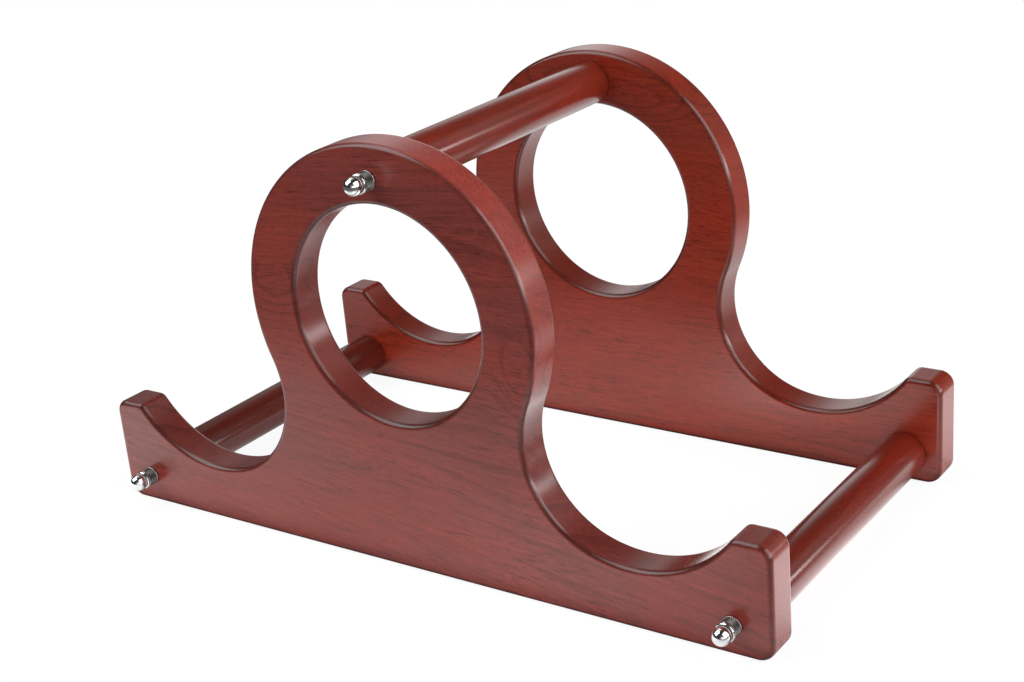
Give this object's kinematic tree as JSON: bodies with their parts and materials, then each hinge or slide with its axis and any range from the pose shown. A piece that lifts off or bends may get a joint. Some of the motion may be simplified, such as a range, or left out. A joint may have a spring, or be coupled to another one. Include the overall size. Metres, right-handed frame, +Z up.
{
  "type": "tabletop bottle rack",
  "caption": "Tabletop wooden rack: two shaped side boards with a round opening and side cradles, joined by round rails and knurled ball-ended thumb nuts.",
  "frame": {"origin": "on the table, under the middle of the rack", "axes": "+Z up, +X along the side boards, +Y from the front board to the rear board"},
  "size_m": [0.3252, 0.199, 0.1789],
  "materials": {
    "board_wood": "mahogany stain under satin lacquer",
    "rail_wood": "mahogany stain under semi-gloss lacquer",
    "stud_steel": "bright zinc plated thread",
    "nut_chrome": "polished chrome, knurled barrel"
  },
  "bodies": {
    "rack": {"front_side_board": "board_wood", "rear_side_board": "board_wood", "top_rail": "rail_wood", "left_rail": "rail_wood", "right_rail": "rail_wood", "front_top_stud": "stud_steel", "front_left_stud": "stud_steel", "front_right_stud": "stud_steel", "rear_top_stud": "stud_steel", "rear_left_stud": "stud_steel", "rear_right_stud": "stud_steel"},
    "front_top_thumb_nut": {"front_top_thumb_nut": "nut_chrome"},
    "front_left_thumb_nut": {"front_left_thumb_nut": "nut_chrome"},
    "front_right_thumb_nut": {"front_right_thumb_nut": "nut_chrome"},
    "rear_top_thumb_nut": {"rear_top_thumb_nut": "nut_chrome"},
    "rear_left_thumb_nut": {"rear_left_thumb_nut": "nut_chrome"},
    "rear_right_thumb_nut": {"rear_right_thumb_nut": "nut_chrome"}
  },
  "joints": [
    {"name": "front_top_nut_travel", "type": "slide", "parent": "rack", "child": "front_top_thumb_nut", "axis": [0, -1, 0], "range_m": [0, 0.0055]},
    {"name": "front_left_nut_travel", "type": "slide", "parent": "rack", "child": "front_left_thumb_nut", "axis": [0, -1, 0], "range_m": [0, 0.0055]},
    {"name": "front_right_nut_travel", "type": "slide", "parent": "rack", "child": "front_right_thumb_nut", "axis": [0, -1, 0], "range_m": [0, 0.0055]},
    {"name": "rear_top_nut_travel", "type": "slide", "parent": "rack", "child": "rear_top_thumb_nut", "axis": [0, 1, 0], "range_m": [0, 0.0055]},
    {"name": "rear_left_nut_travel", "type": "slide", "parent": "rack", "child": "rear_left_thumb_nut", "axis": [0, 1, 0], "range_m": [0, 0.0055]},
    {"name": "rear_right_nut_travel", "type": "slide", "parent": "rack", "child": "rear_right_thumb_nut", "axis": [0, 1, 0], "range_m": [0, 0.0055]}
  ]
}
